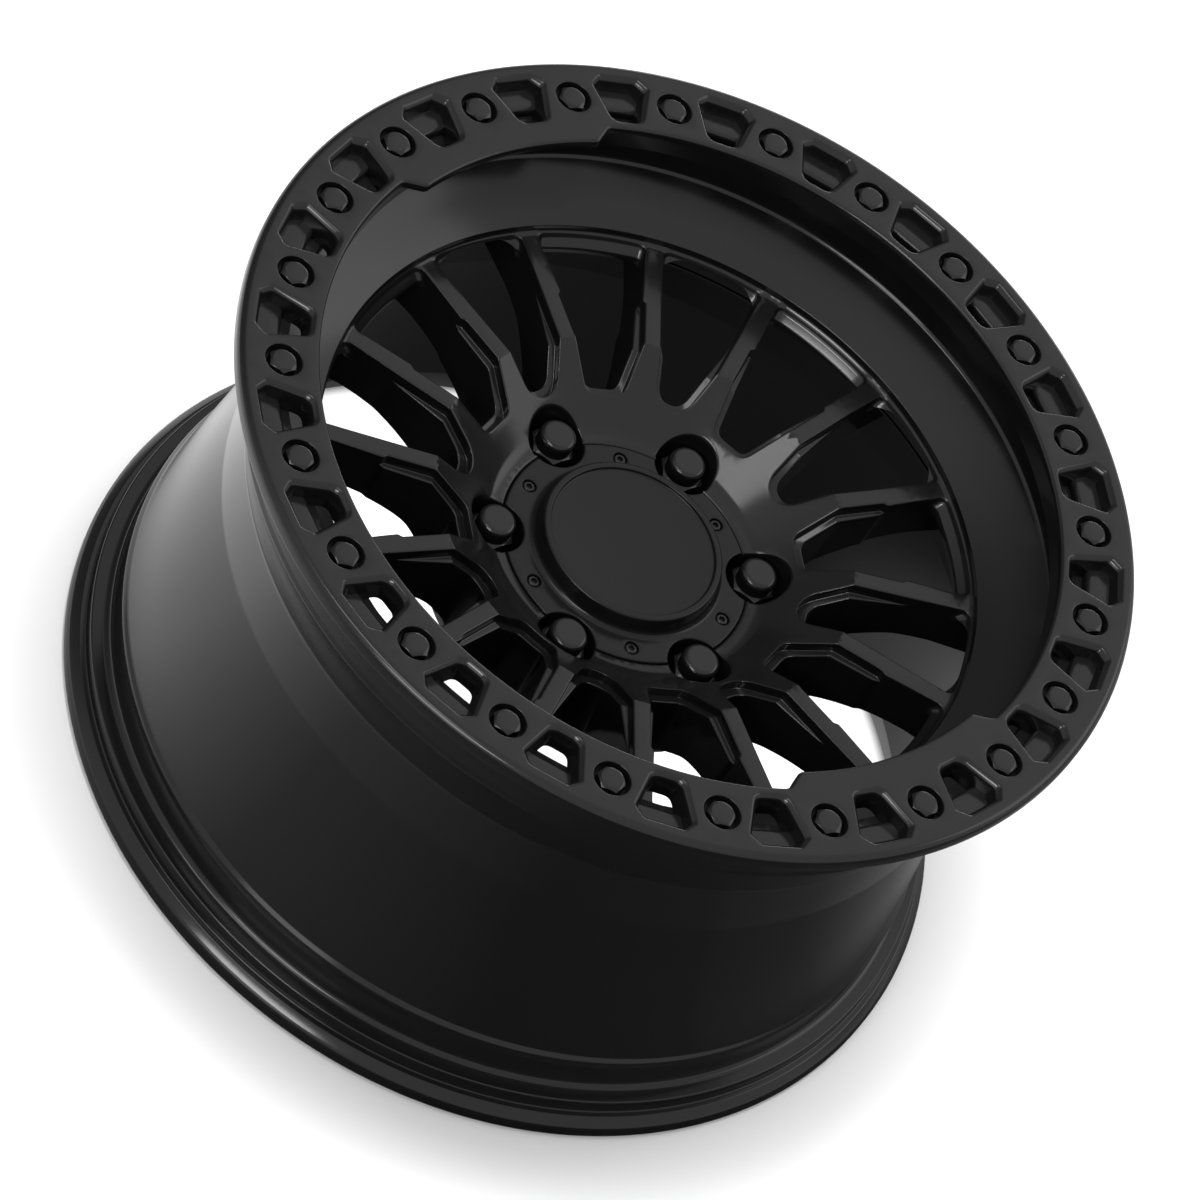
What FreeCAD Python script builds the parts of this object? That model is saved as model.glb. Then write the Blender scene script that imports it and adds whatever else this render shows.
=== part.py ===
import FreeCAD, Part
import math
import os

# Sizes in millimetres. z = 0 is the hub mounting face, +Z points out of the face,
# +X points at a lug, a ring bolt and the middle of a ring tab.

# Rim
bead_r = 218.3  # tyre seat of a 17 inch rim
rim_width = 228.6  # clamp plane to rear flange face
wheel_offset = -12.0  # mounting face from the rim's middle plane
barrel_wall = 7.0
well_drop = 13.8  # bead seat to the bottom of the well
hump_height = 0.7
hump_run = 3.0
hump_depth = 31.0  # clamp plane to the front hump
well_front_depth = 66.6
well_rear_depth = 103.6
well_taper = 1.0
rear_hump_rise = 21.0  # rear flange face to the rear hump
rear_seat_drop = 2.0
flange_root = 3.5
flange_height = 9.5
lip_height = 8.2
lip_depth = 22.0  # rear flange face to the rear end
lip_step = 8.4
lip_round = 5.0
lip_width = 14.0

# Dish in front of the spokes
front_wall = 10.6  # bead seat to the dish wall
dish_wall_draft = 1.2
dish_wall_height = 25.9
dish_cone_width = 33.2
dish_cone_height = 15.6
dish_step = 2.5
dish_bevel = 2.5  # from the step down to the spokes

# Outer end of a window, under the dish: steep at the top, then sloping in, then straight
end_back = 1.3  # how far it cuts into the bevel
end_steep_run = 1.2
end_steep_fall = 2.3
end_slope_run = 3.7
end_slope_fall = 3.8
end_straight = 3.4
flange_rise = 0.47  # slope of the flange underside

# Spoke face, its rear and the hub
knee_r = 111.0
spoke_fall = 2.3  # from the dish to the knee
cone_foot_r = 72.9
cone_fall = 27.2
annulus_fall = 1.3
pad_r = 88.0
pad_foot = 3.0
bore_r = 53.1  # fits over the hub pilot
bore_length = 28.0
spigot_r = 50.0  # the centre cap plugs in here
cap_seat_r = 65.6
rear_outer_fall = 29.6  # spoke depth at the barrel
rear_mid_r = 140.0
rear_knee_r = 113.0
rear_knee_fall = 39.5  # spoke top to spoke rear at the rear knee
rear_hub_r = 97.0
rear_hub_z = 18.0
window_wall = 1.5  # the barrel behind the windows is thicker by this

# Windows: distance along the middle line, half width, corner radius
window_count = 8
flat_through = [(91.2, 8.4, 4.5), (110.5, 16.0, 0)]
flat_flare = 0.238  # half width gained on the way out to the barrel
flat_shelf = [(88.6, 10.1, 5.0), (110.5, 18.9, 0), (134.8, 23.7, 0), (137.2, 20.5, 0)]
round_through = [(91.4, 6.1, 8.3), (111.0, 13.2, 0), (142.0, 22.0, 0)]
round_flare = 0.206
round_shelf = [(89.0, 7.8, 10.6), (110.5, 15.6, 0), (142.4, 22.1, 0)]
shelf_depth = 3.2
scallop_low = 26.0  # half width of the thinned flange at its underside
scallop_high = 14.5
scallop_skin = 1.4
scallop_wall = 3.0
scallop_rise = 5.0

# Wheel nuts
lug_count = 6
lug_circle_r = 69.85
lug_hole_r = 8.0
lug_hole_length = 10.0
lug_seat_r = 12.2
seat_slope = math.tan(math.radians(60))
lug_pocket_r = 15.3
nut_across_flats = 21.0
nut_round_r = 10.2
nut_top_z = 51.5
nut_round_height = 9.0
nut_edge = 1.6
nut_thread_r = 6.3
nut_roof = 7.0
nut_lift = 0.4  # end of the cone seat above the straight hole

# Centre cap
cap_gap = 0.4
cap_flange = 5.0
cap_body_r = 49.2
cap_rise = 10.5  # rim of the cap above its flange
cap_rim = 3.7
cap_dip = 1.8
cap_wall = 3.0
cap_root = 4.5
cap_turn = 0.3
cap_skirt = 6.5
cap_edge = 1.2

# Cap screws
screw_count = 6
screw_circle_r = 57.8
screw_r = 2.0
screw_length = 12.0
screw_head_r = 3.4
screw_head_height = 2.6
screw_key = 2.5
screw_key_depth = 1.4
screw_sink_gap = 1.1

# Clamp ring
ring_inset = 0.4  # the rear lip stands out this far past the ring
ring_front = 9.9  # clamp plane to ring face
ring_spigot = 4.1  # clamp plane back to the casting
ring_edge = 4.0
ring_turn = 0.3  # where the two flats of the rounded edge meet
ring_back_edge = 2.5
ring_overhang = 13.1  # how far it reaches over the dish
ring_inner_edge = 1.5
tab_height = 9.4
tab_half = 16.7  # degrees at its inner edge
tab_root_half = 19.3
tab_flare = 1.3
bolt_count = 24
bolt_inset = 5.3  # bead seat to the bolt circle
bolt_r = 4.0
bolt_grip = 16.0
bolt_across_flats = 13.0
bolt_head_height = 8.0
bolt_sink_gap = 1.9
thread_gap = 0.05
hole_gap = 0.5

# Ring pockets: distance out from the bolt circle, half width, corner radius
pocket_top = [(15.2, 10.6, 0), (9.0, 16.0, 0), (-12.0, 10.6, 0), (-14.6, 6.5, 0)]
pocket_mid = [(13.0, 9.6, 0), (8.2, 13.8, 0), (-10.4, 8.9, 0), (-12.7, 5.4, 0)]
pocket_floor = [(11.6, 9.0, 0), (6.8, 12.4, 0), (-10.0, 8.0, 0), (-12.2, 4.8, 0)]
pocket_bevel = 2.2
pocket_depth = 8.9
drain_inset = 0.8  # bolt circle to the straight side of the drain

# Valve hole from the dish cone to the front slope of the well, hidden by the ring
valve_r = 5.75
valve_angle = 195.0
valve_run = 14.0

over = 5.0  # how far a cutter runs past what it cuts
peg_sides = 12
turn = FreeCAD.Vector(0, 0, 1)
origin = FreeCAD.Vector(0, 0, 0)

# Radii that follow from the sizes
well_r = bead_r - well_drop
barrel_inner_r = well_r - barrel_wall
window_outer_r = barrel_inner_r - window_wall
scallop_r = window_outer_r - scallop_wall
flange_face_r = bead_r + flange_height
lip_r = flange_face_r + lip_height
dish_wall_r = bead_r - front_wall
dish_foot_r = dish_wall_r - dish_cone_width
spoke_r = dish_foot_r - dish_bevel
end_top_r = spoke_r + end_back
end_mid_r = end_top_r - end_steep_run
lip_inner_r = end_mid_r - end_slope_run
ring_r = lip_r - ring_inset
ring_inner_r = dish_wall_r - ring_overhang
tab_r = ring_inner_r - tab_height
bolt_circle_r = bead_r - bolt_inset
drain_outer_r = bolt_circle_r - drain_inset

# Heights that follow from the sizes
clamp_z = rim_width / 2 - wheel_offset
rear_z = clamp_z - rim_width
hump_z = clamp_z - hump_depth
well_front_z = clamp_z - well_front_depth
well_rear_z = clamp_z - well_rear_depth
rear_hump_z = rear_z + rear_hump_rise
ring_face_z = clamp_z + ring_front
seat_z = clamp_z - ring_spigot
dish_corner_z = seat_z - dish_wall_height
dish_foot_z = dish_corner_z - dish_cone_height
ledge_z = dish_foot_z - dish_step
spoke_z = ledge_z - dish_bevel
knee_z = spoke_z - spoke_fall
cone_foot_z = knee_z - cone_fall
annulus_z = cone_foot_z - annulus_fall
cap_flange_z = annulus_z + 0.6
cap_seat_z = cap_flange_z - cap_flange
cap_top_z = cap_flange_z + cap_rise
rear_outer_z = spoke_z - rear_outer_fall
end_mid_z = spoke_z - end_steep_fall
end_low_z = end_mid_z - end_slope_fall
under_z = end_low_z - end_straight
lug_floor_z = lug_hole_length + (lug_seat_r - lug_hole_r) * seat_slope
top_z = ring_face_z + over


def flat_point(z):
    return lambda u, v: FreeCAD.Vector(u, v, z)


def side_point(u, v):
    return FreeCAD.Vector(u, 0, v)


# Closed outline from corners (u, v, radius), each corner rounded by its radius
def outline(corners, place):
    spots = [place(corner[0], corner[1]) for corner in corners]
    ends = []
    for i, spot in enumerate(spots):
        radius = corners[i][2] if len(corners[i]) > 2 else 0
        if radius == 0:
            ends.append((spot, None, spot))
            continue
        back = spots[i - 1].sub(spot).normalize()
        ahead = spots[(i + 1) % len(spots)].sub(spot).normalize()
        half = back.getAngle(ahead) / 2
        run = radius / math.tan(half)
        middle = back.add(ahead).normalize()
        middle.multiply(radius / math.sin(half) - radius)
        ends.append((spot.add(back.multiply(run)), spot.add(middle), spot.add(ahead.multiply(run))))
    edges = []
    for i, (start, middle, stop) in enumerate(ends):
        if middle is not None:
            edges.append(Part.Arc(start, middle, stop).toShape())
        following = ends[(i + 1) % len(ends)][0]
        if following.distanceToPoint(stop) > 1e-6:
            edges.append(Part.makeLine(stop, following))
    return Part.Wire(edges)


def turned(corners):
    return Part.Face(outline(corners, side_point)).revolve(origin, turn, 360)


def both_sides(half):
    return half + [(u, -v, radius) for u, v, radius in reversed(half)]


def prism(half, low, high):
    face = Part.Face(outline(both_sides(half), flat_point(low)))
    return face.extrude(FreeCAD.Vector(0, 0, high - low))


# Window outline carried on past the barrel
def flared(corners, flare):
    along, half, radius = corners[-1]
    return corners + [(lip_r, half + (lip_r - along) * flare, radius)]


def turned_copy(shape, angle):
    copy = shape.copy()
    copy.rotate(origin, turn, angle)
    return copy


def around(shape, count, first=0.0):
    return [turned_copy(shape, first + 360.0 * i / count) for i in range(count)]


def column(corner_r, sides, low, high, distance=0.0):
    corners = []
    for i in range(sides + 1):
        a = 2 * math.pi * i / sides
        corners.append(FreeCAD.Vector(distance + corner_r * math.cos(a), corner_r * math.sin(a), low))
    return Part.Face(Part.makePolygon(corners)).extrude(FreeCAD.Vector(0, 0, high - low))


# Small round holes and shanks repeat often, so they are drawn with a few sides
def peg(radius, low, high, distance=0.0):
    return column(radius, peg_sides, low, high, distance)


def hexagon(across_flats, low, high):
    return column(across_flats / math.sqrt(3), 6, low, high)


def moved_out(shape, distance):
    shape.translate(FreeCAD.Vector(distance, 0, 0))
    return shape


# Face height at a radius: hub cone inside the knee, nearly flat spokes outside it
def face_z(radius):
    if radius < knee_r:
        return cone_foot_z + (radius - cone_foot_r) * cone_fall / (knee_r - cone_foot_r)
    return knee_z + (radius - knee_r) * spoke_fall / (spoke_r - knee_r)


def under_flange_z(radius):
    return under_z + (radius - lip_inner_r) * flange_rise


# One casting: barrel, dish, spokes and hub
def cast_wheel():
    wheel = turned([
        (bore_r, 0),
        (bore_r, bore_length),
        (spigot_r, bore_length),
        (spigot_r, cap_seat_z),
        (cap_seat_r, cap_seat_z),
        (cap_seat_r, annulus_z),
        (cone_foot_r, cone_foot_z),
        (knee_r, knee_z),
        (spoke_r, spoke_z),
        (dish_foot_r, ledge_z),
        (dish_foot_r, dish_foot_z),
        (dish_wall_r, dish_corner_z),
        (dish_wall_r - dish_wall_draft, seat_z),
        (bead_r, seat_z),
        (bead_r, hump_z + hump_run),
        (bead_r + hump_height, hump_z),
        (well_r, well_front_z),
        (well_r - well_taper, well_rear_z),
        (bead_r - rear_seat_drop, rear_hump_z + hump_run),
        (bead_r + hump_height / 2, rear_hump_z),
        (bead_r - rear_seat_drop / 2, rear_hump_z - 2 * hump_run),
        (bead_r, rear_z + flange_root),
        (bead_r + flange_root, rear_z),
        (flange_face_r, rear_z),
        (flange_face_r, rear_z - lip_step),
        (lip_r - lip_round, rear_z - lip_step),
        (lip_r, rear_z - lip_step - lip_round),
        (lip_r, rear_z - lip_depth + lip_round / 2),
        (lip_r - lip_round / 2, rear_z - lip_depth),
        (lip_r - lip_width, rear_z - lip_depth),
        (bead_r - barrel_wall, rear_z + flange_root),
        (bead_r - barrel_wall - rear_seat_drop, rear_hump_z),
        (barrel_inner_r, well_rear_z - barrel_wall / 2),
        (barrel_inner_r, rear_outer_z - barrel_wall / 2),
        (barrel_inner_r - barrel_wall, rear_outer_z),
        (rear_mid_r, rear_outer_z),
        (rear_knee_r, knee_z - rear_knee_fall),
        (rear_hub_r, rear_hub_z),
        (pad_r + pad_foot, pad_foot),
        (pad_r, 0),
    ])
    open_space = turned([
        (pad_r - over, -over),
        (window_outer_r, -over),
        (window_outer_r, under_flange_z(window_outer_r)),
        (lip_inner_r, under_z),
        (lip_inner_r, end_low_z),
        (end_mid_r, end_mid_z),
        (end_top_r, spoke_z),
        (end_top_r, top_z),
        (pad_r - over, top_z),
    ])
    shelf_end = rear_mid_r + over
    above_shelf = turned([
        (cone_foot_r, face_z(cone_foot_r) - shelf_depth),
        (knee_r, knee_z - shelf_depth),
        (shelf_end, face_z(shelf_end) - shelf_depth),
        (shelf_end, top_z),
        (cone_foot_r, top_z),
    ])
    scallop_wire = Part.makePolygon([
        FreeCAD.Vector(rear_mid_r, t, z)
        for t, z in [
            (-scallop_low, rear_outer_z),
            (-scallop_low, end_low_z),
            (-scallop_high, spoke_z),
            (-scallop_high, dish_corner_z),
            (scallop_high, dish_corner_z),
            (scallop_high, spoke_z),
            (scallop_low, end_low_z),
            (scallop_low, rear_outer_z),
            (-scallop_low, rear_outer_z),
        ]
    ])
    scallop = Part.Face(scallop_wire).extrude(FreeCAD.Vector(window_outer_r - rear_mid_r, 0, 0))
    scallop_space = turned([
        (spoke_r - over, rear_outer_z),
        (scallop_r, rear_outer_z),
        (scallop_r, under_flange_z(scallop_r) + scallop_rise),
        (spoke_r, spoke_z - scallop_skin),
        (spoke_r - over, spoke_z - scallop_skin),
    ])
    flat_window = [
        prism(flared(flat_through, flat_flare), -over, top_z).common(open_space),
        prism(flat_shelf, -over, top_z).common(above_shelf),
    ]
    round_window = [
        prism(flared(round_through, round_flare), -over, top_z).common(open_space),
        prism(round_shelf, -over, top_z).common(above_shelf),
        scallop.common(scallop_space),
    ]
    lug = moved_out(
        turned([
            (0, -over),
            (lug_hole_r, -over),
            (lug_hole_r, lug_hole_length),
            (lug_seat_r, lug_floor_z),
            (lug_pocket_r, lug_floor_z),
            (lug_pocket_r, top_z),
            (0, top_z),
        ]),
        lug_circle_r,
    )
    screw_hole = peg(screw_r + thread_gap, cap_seat_z - screw_length - 1, cap_seat_z + over, screw_circle_r)
    bolt_hole = peg(bolt_r + thread_gap, seat_z - bolt_grip - 1, seat_z + over, bolt_circle_r)
    valve_in = FreeCAD.Vector((dish_wall_r + dish_foot_r) / 2, 0, (dish_corner_z + dish_foot_z) / 2)
    valve_out = FreeCAD.Vector((bead_r + well_r) / 2, 0, (hump_z + well_front_z) / 2)
    path = valve_out.sub(valve_in).normalize()
    start = valve_in.sub(FreeCAD.Vector(path).multiply(valve_run))
    length = valve_out.distanceToPoint(valve_in) + 2 * valve_run
    valve = Part.makeCylinder(valve_r, length, start, path)
    for shape in flat_window:
        wheel = wheel.cut(around(shape, window_count, 180.0 / window_count))
    for shape in round_window:
        wheel = wheel.cut(around(shape, window_count))
    wheel = wheel.cut(around(lug, lug_count))
    wheel = wheel.cut(around(screw_hole, screw_count, 180.0 / screw_count))
    wheel = wheel.cut(around(bolt_hole, bolt_count))
    return wheel.cut(turned_copy(valve, valve_angle))


# Ring that clamps the outer tyre bead
def bead_ring():
    ring = turned([
        (tab_r, seat_z),
        (bead_r + hump_height, seat_z),
        (bead_r + hump_height, clamp_z),
        (ring_r - ring_back_edge, clamp_z),
        (ring_r, clamp_z + ring_back_edge),
        (ring_r, ring_face_z - ring_edge),
        (ring_r - ring_edge * ring_turn, ring_face_z - ring_edge * ring_turn),
        (ring_r - ring_edge, ring_face_z),
        (tab_r + ring_inner_edge, ring_face_z),
        (tab_r, ring_face_z - ring_inner_edge),
    ])
    low = seat_z - over
    spots = []
    for radius, half in [(tab_r - over, tab_half - tab_flare), (ring_inner_r, tab_root_half)]:
        a = math.radians(half)
        spots.append(FreeCAD.Vector(radius * math.cos(a), radius * math.sin(a), low))
    inner, root = spots
    inner_far = FreeCAD.Vector(-inner.x, inner.y, low)
    root_far = FreeCAD.Vector(-root.x, root.y, low)
    wire = Part.Wire([
        Part.makeLine(inner, root),
        Part.Arc(root, FreeCAD.Vector(0, ring_inner_r, low), root_far).toShape(),
        Part.makeLine(root_far, inner_far),
        Part.Arc(inner_far, FreeCAD.Vector(0, tab_r - over, low), inner).toShape(),
    ])
    between_tabs = Part.Face(wire).extrude(FreeCAD.Vector(0, 0, top_z - low))
    bevel = Part.makeLoft([
        outline(both_sides(pocket_mid), flat_point(ring_face_z - pocket_bevel)),
        outline(both_sides(pocket_top), flat_point(ring_face_z)),
    ], True, True)
    well = Part.makeLoft([
        outline(both_sides(pocket_floor), flat_point(ring_face_z - pocket_depth)),
        outline(both_sides(pocket_mid), flat_point(ring_face_z - pocket_bevel)),
    ], True, True)
    drain = moved_out(prism(pocket_floor, seat_z - over, ring_face_z - pocket_bevel), bolt_circle_r)
    drain = drain.common(Part.makeCylinder(drain_outer_r, top_z))
    bolt_sink_r = bolt_across_flats / math.sqrt(3) + bolt_sink_gap
    sink = peg(bolt_sink_r, ring_face_z - bolt_head_height, top_z, bolt_circle_r)
    hole = peg(bolt_r + hole_gap, seat_z - over, top_z, bolt_circle_r)
    ring = ring.cut(around(between_tabs, 2))
    for shape in (moved_out(bevel, bolt_circle_r), moved_out(well, bolt_circle_r), drain):
        ring = ring.cut(around(shape, bolt_count, 180.0 / bolt_count))
    ring = ring.cut(around(sink, bolt_count))
    return ring.cut(around(hole, bolt_count))


def ring_bolts():
    head = hexagon(bolt_across_flats, ring_face_z - bolt_head_height, ring_face_z)
    shank = peg(bolt_r, seat_z - bolt_grip, ring_face_z - bolt_head_height)
    bolt = moved_out(head.fuse(shank), bolt_circle_r)
    return Part.Compound(around(bolt, bolt_count))


def centre_cap():
    cap = turned([
        (0, cap_top_z - cap_dip - cap_wall),
        (0, cap_top_z - cap_dip),
        (cap_body_r - cap_rim, cap_top_z - cap_dip),
        (cap_body_r - cap_rim, cap_top_z),
        (cap_body_r - cap_edge, cap_top_z),
        (cap_body_r, cap_top_z - cap_edge),
        (cap_body_r, cap_flange_z + cap_root),
        (cap_body_r + cap_root * cap_turn, cap_flange_z + cap_root * cap_turn),
        (cap_body_r + cap_root, cap_flange_z),
        (cap_seat_r - cap_gap - cap_edge, cap_flange_z),
        (cap_seat_r - cap_gap, cap_flange_z - cap_edge),
        (cap_seat_r - cap_gap, cap_seat_z),
        (spigot_r - cap_gap, cap_seat_z),
        (spigot_r - cap_gap, cap_seat_z - cap_skirt),
        (cap_body_r - cap_wall, cap_seat_z - cap_skirt),
        (cap_body_r - cap_wall, cap_top_z - cap_dip - cap_wall),
    ])
    low = cap_seat_z - over
    scallop = Part.makeCylinder(lug_pocket_r + cap_gap, top_z - low, FreeCAD.Vector(lug_circle_r, 0, low))
    cutters = around(scallop, lug_count)
    sink_z = cap_flange_z - screw_head_height
    first = 180.0 / screw_count
    cutters += around(peg(screw_head_r + screw_sink_gap, sink_z, top_z, screw_circle_r), screw_count, first)
    cutters += around(peg(screw_r + hole_gap, low, top_z, screw_circle_r), screw_count, first)
    return cap.cut(cutters)


def cap_screws():
    sink_z = cap_flange_z - screw_head_height
    shank = peg(screw_r, cap_seat_z - screw_length, sink_z)
    head = peg(screw_head_r, sink_z, cap_flange_z)
    key = hexagon(screw_key, cap_flange_z - screw_key_depth, top_z)
    screw = moved_out(head.cut(key).fuse(shank), screw_circle_r)
    return Part.Compound(around(screw, screw_count, 180.0 / screw_count))


# Closed nuts with a cone seat, a hexagon and a round end
def lug_nuts():
    seat_low_z = lug_hole_length + nut_lift
    seat_low_r = lug_hole_r + nut_lift / seat_slope
    flat_r = nut_across_flats / 2
    seat_high_z = seat_low_z + (flat_r - seat_low_r) * seat_slope
    hex_low_z = lug_floor_z + nut_lift
    hex_z = nut_top_z - nut_round_height
    body = turned([
        (0, seat_low_z),
        (seat_low_r, seat_low_z),
        (flat_r, seat_high_z),
        (flat_r, hex_low_z),
        (nut_round_r, hex_low_z),
        (nut_round_r, nut_top_z - nut_edge),
        (nut_round_r - nut_edge, nut_top_z),
        (0, nut_top_z),
    ])
    flats = hexagon(nut_across_flats, hex_low_z, hex_z)
    thread = peg(nut_thread_r, seat_low_z - over, nut_top_z - nut_roof)
    nut = moved_out(body.fuse(flats).cut(thread), lug_circle_r)
    return Part.Compound(around(nut, lug_count))


os.makedirs("parts", exist_ok=True)
for name, shape in [
    ("cast_wheel", cast_wheel()),
    ("bead_ring", bead_ring()),
    ("ring_bolts", ring_bolts()),
    ("centre_cap", centre_cap()),
    ("cap_screws", cap_screws()),
    ("lug_nuts", lug_nuts()),
]:
    shape.exportStep("parts/" + name + ".step")
    print(name, "solids", len(shape.Solids), "valid", shape.isValid(), "volume", round(shape.Volume))
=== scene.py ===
import math
import bpy
import bmesh
import numpy as np
from mathutils import Matrix, Vector
from mathutils.geometry import delaunay_2d_cdt


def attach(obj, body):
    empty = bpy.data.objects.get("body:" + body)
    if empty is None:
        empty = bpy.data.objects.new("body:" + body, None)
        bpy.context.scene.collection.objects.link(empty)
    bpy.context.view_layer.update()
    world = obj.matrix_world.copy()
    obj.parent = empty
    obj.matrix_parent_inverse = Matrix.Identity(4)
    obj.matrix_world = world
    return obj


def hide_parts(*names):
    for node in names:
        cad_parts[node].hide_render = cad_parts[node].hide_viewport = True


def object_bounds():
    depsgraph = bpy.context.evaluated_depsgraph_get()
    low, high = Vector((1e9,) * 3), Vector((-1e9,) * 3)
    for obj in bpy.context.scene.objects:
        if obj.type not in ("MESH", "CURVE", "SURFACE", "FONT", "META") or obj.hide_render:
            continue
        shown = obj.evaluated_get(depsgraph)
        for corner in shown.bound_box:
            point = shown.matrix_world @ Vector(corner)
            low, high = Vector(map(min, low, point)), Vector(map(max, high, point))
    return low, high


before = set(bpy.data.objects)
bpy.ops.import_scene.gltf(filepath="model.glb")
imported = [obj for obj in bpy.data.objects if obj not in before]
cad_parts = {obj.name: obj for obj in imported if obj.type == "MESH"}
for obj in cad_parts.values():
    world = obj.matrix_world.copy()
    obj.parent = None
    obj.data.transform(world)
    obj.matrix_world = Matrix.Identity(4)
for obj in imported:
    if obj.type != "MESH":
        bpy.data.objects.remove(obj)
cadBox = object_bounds()
print("frame loaded")

# Lengths are millimetres in the CAD frame, and makeObject turns them into metres; the stage is in metres
mm = 0.001
quarter = math.pi / 2
fullTurn = 2 * math.pi
cornerSteps = 6  # faces round a corner
weldGap = 0.004  # points nearer than this become one
creaseAngle = 38.0  # edges that bend more than this many degrees stay sharp
near = 0.01  # lengths that differ by less count as equal


# Outlines

def radiusOf(points):
    return np.linalg.norm(points, axis=1)


def roundOff(corners, steps=cornerSteps, closed=True):  # corner = (u, v, radius), radius 0 if sharp
    points = []
    count = len(corners)
    for i, (u, v, radius) in enumerate(corners):
        here = np.array((u, v), float)
        if radius == 0 or (not closed and i in (0, count - 1)):
            points.append(here)
            continue
        back = np.array(corners[i - 1][:2], float) - here
        ahead = np.array(corners[(i + 1) % count][:2], float) - here
        back /= np.linalg.norm(back)
        ahead /= np.linalg.norm(ahead)
        half = math.acos(max(-1.0, min(1.0, float(back @ ahead)))) / 2
        middle = back + ahead
        centre = here + middle / np.linalg.norm(middle) * radius / math.sin(half)
        start = here + back * radius / math.tan(half) - centre
        stop = here + ahead * radius / math.tan(half) - centre
        first = math.atan2(start[1], start[0])
        sweep = (math.atan2(stop[1], stop[0]) - first + math.pi) % fullTurn - math.pi
        for k in range(steps + 1):
            a = first + sweep * k / steps
            points.append(centre + radius * np.array((math.cos(a), math.sin(a))))
    return np.array(points)


def refine(points, longest):  # splits the long stretches of an open line
    out = []
    for a, b in zip(points, points[1:]):
        n = max(1, math.ceil(np.linalg.norm(b - a) / longest))
        out += [a + (b - a) * k / n for k in range(n)]
    return np.array([*out, points[-1]])


def bothSides(half):  # half outline on +v, mirrored to a counter-clockwise loop
    return [(u, -v, r) for u, v, r in half] + [(u, v, r) for u, v, r in reversed(half)]


def turnPoints(points, degrees):
    a = math.radians(degrees)
    turn = np.array(((math.cos(a), -math.sin(a)), (math.sin(a), math.cos(a))))
    return np.asarray(points) @ turn.T


def arc(radius, angles, centreU=0.0):
    return np.stack((centreU + radius * np.cos(angles), radius * np.sin(angles)), 1)


def circle(radius, count, centreU=0.0):
    return arc(radius, np.arange(count) * fullTurn / count, centreU)


def outward(loop):  # unit normals to the right of a counter-clockwise loop
    along = np.roll(loop, -1, 0) - np.roll(loop, 1, 0)
    along /= np.maximum(np.linalg.norm(along, axis=1, keepdims=True), 1e-9)
    return np.stack((along[:, 1], -along[:, 0]), 1)


def inside(points, loop):  # even-odd test
    x, y = points[:, 0], points[:, 1]
    hit = np.zeros(len(points), bool)
    for (ax, ay), (bx, by) in zip(loop, np.roll(loop, -1, 0)):
        if ay != by:
            hit ^= ((ay > y) != (by > y)) & (x < (bx - ax) * (y - ay) / (by - ay) + ax)
    return hit


def inHole(points, hole):  # the same test, only where the hole's box is
    close = (points >= hole.min(0)).all(1) & (points <= hole.max(0)).all(1)
    hit = np.zeros(len(points), bool)
    hit[close] = inside(points[close], hole)
    return hit


# Surfaces: each gives (points, faces)

def lift(points, z):
    return np.column_stack((points, np.broadcast_to(z, len(points))))


def strip(rows, closed=True, flip=False):  # equal rows from the top down, facing the left of their run
    count = len(rows[0])
    faces = []
    for j in range(len(rows) - 1):
        for i in range(count if closed else count - 1):
            k = (i + 1) % count
            face = (j * count + i, j * count + k, (j + 1) * count + k, (j + 1) * count + i)
            faces.append(face[::-1] if flip else face)
    return np.concatenate(rows), faces


def revolve(profile, count):  # profile runs counter-clockwise round the section
    return strip([lift(circle(r, count), z) for r, z in profile])


fill = {"rowShare": 0.866, "fromBend": 0.5, "fromEdge": 0.2, "bendCount": 360, "batch": 400, "merge": 1e-5}


def fillPoints(loops, gap, bends):  # even grid between the loops, with rows of points where the height bends
    edge = np.concatenate(loops)
    low, high = edge.min(0), edge.max(0)
    xs = np.arange(low[0], high[0], gap)
    ys = np.arange(low[1], high[1], gap * fill["rowShare"])
    grid = np.stack(np.meshgrid(xs, ys), 2)
    grid[1::2, :, 0] += gap / 2
    spots = grid.reshape(-1, 2)
    for bend in bends:
        spots = spots[np.abs(radiusOf(spots) - bend) > gap * fill["fromBend"]]
    spots = np.concatenate([spots, *[circle(bend, fill["bendCount"]) for bend in bends]])
    spots = spots[inside(spots, loops[0])]
    for hole in loops[1:]:
        spots = spots[~inHole(spots, hole)]
    far = np.ones(len(spots), bool)
    for i in range(0, len(spots), fill["batch"]):
        some = slice(i, i + fill["batch"])
        far[some] = np.linalg.norm(spots[some, None] - edge[None], axis=2).min(1) > gap * fill["fromEdge"]
    return spots[far]


def plate(outer, holes, height, gap, bends=(), flip=False):  # flat region, lifted to height(radius)
    loops = [np.asarray(loop) for loop in (outer, *holes)]
    pairs, start = [], 0
    for loop in loops:
        n = len(loop)
        pairs += [(start + i, start + (i + 1) % n) for i in range(n)]
        start += n
    everything = [Vector(p) for p in np.concatenate([*loops, fillPoints(loops, gap, bends)])]
    made = delaunay_2d_cdt(everything, pairs, [], 0, fill["merge"])
    points = np.array([tuple(p) for p in made[0]])
    faces = np.array(made[2])
    middle = points[faces].mean(1)
    keep = inside(middle, loops[0])
    for hole in loops[1:]:
        keep &= ~inHole(middle, hole)
    faces = [tuple(f[::-1]) if flip else tuple(f) for f in faces[keep].tolist()]
    return lift(points, height(radiusOf(points))), faces


def flatAt(z):  # level height for plate and edgeRows
    return lambda radius: np.full_like(radius, z)


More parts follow.
